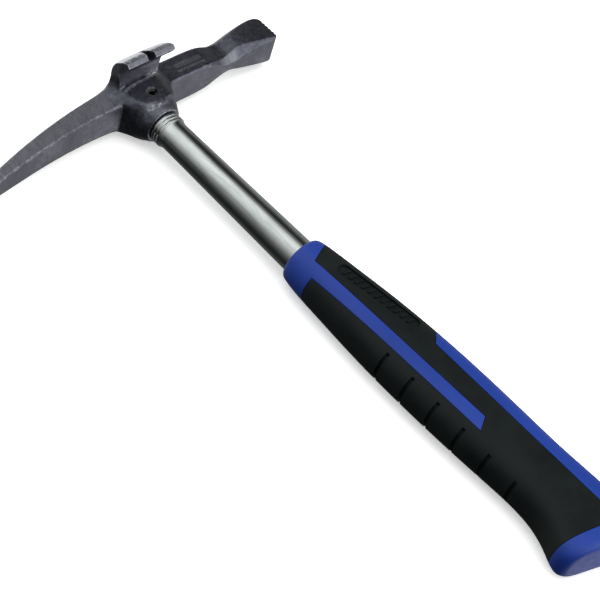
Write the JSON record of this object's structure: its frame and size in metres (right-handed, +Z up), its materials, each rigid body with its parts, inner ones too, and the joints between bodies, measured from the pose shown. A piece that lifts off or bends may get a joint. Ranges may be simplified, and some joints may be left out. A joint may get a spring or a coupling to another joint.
{
  "type": "roofing hammer",
  "caption": "Roofing hammer with a serrated square face, a long pick and a side claw on a tubular steel shaft, with a moulded two-colour grip.",
  "frame": {"origin": "middle of the plan outline, on the surface the hammer lies on", "axes": "+X towards the striking face, +Y along the shaft towards the head, +Z up out of the cheek that carries the claw"},
  "size_m": [0.2144, 0.3615, 0.0501],
  "materials": {
    "forged_steel": "dark lacquered forging, bright where ground or worn",
    "magnet_nickel": "nickel plated",
    "chromed_steel": "bright plated, faint drawing lines",
    "spring_steel": "oiled",
    "beech": "turned, unfinished",
    "plug_plastic": "moulded",
    "blue_plastic": "satin moulded",
    "black_rubber": "soft matt"
  },
  "bodies": {
    "root": {"head": "forged_steel", "nail_magnet": "magnet_nickel", "shaft_tube": "chromed_steel", "spring_pin": "spring_steel", "damping_dowel": "beech", "tube_end_plug": "plug_plastic", "grip_core": "blue_plastic", "grip_overmould": "black_rubber"}
  },
  "joints": []
}
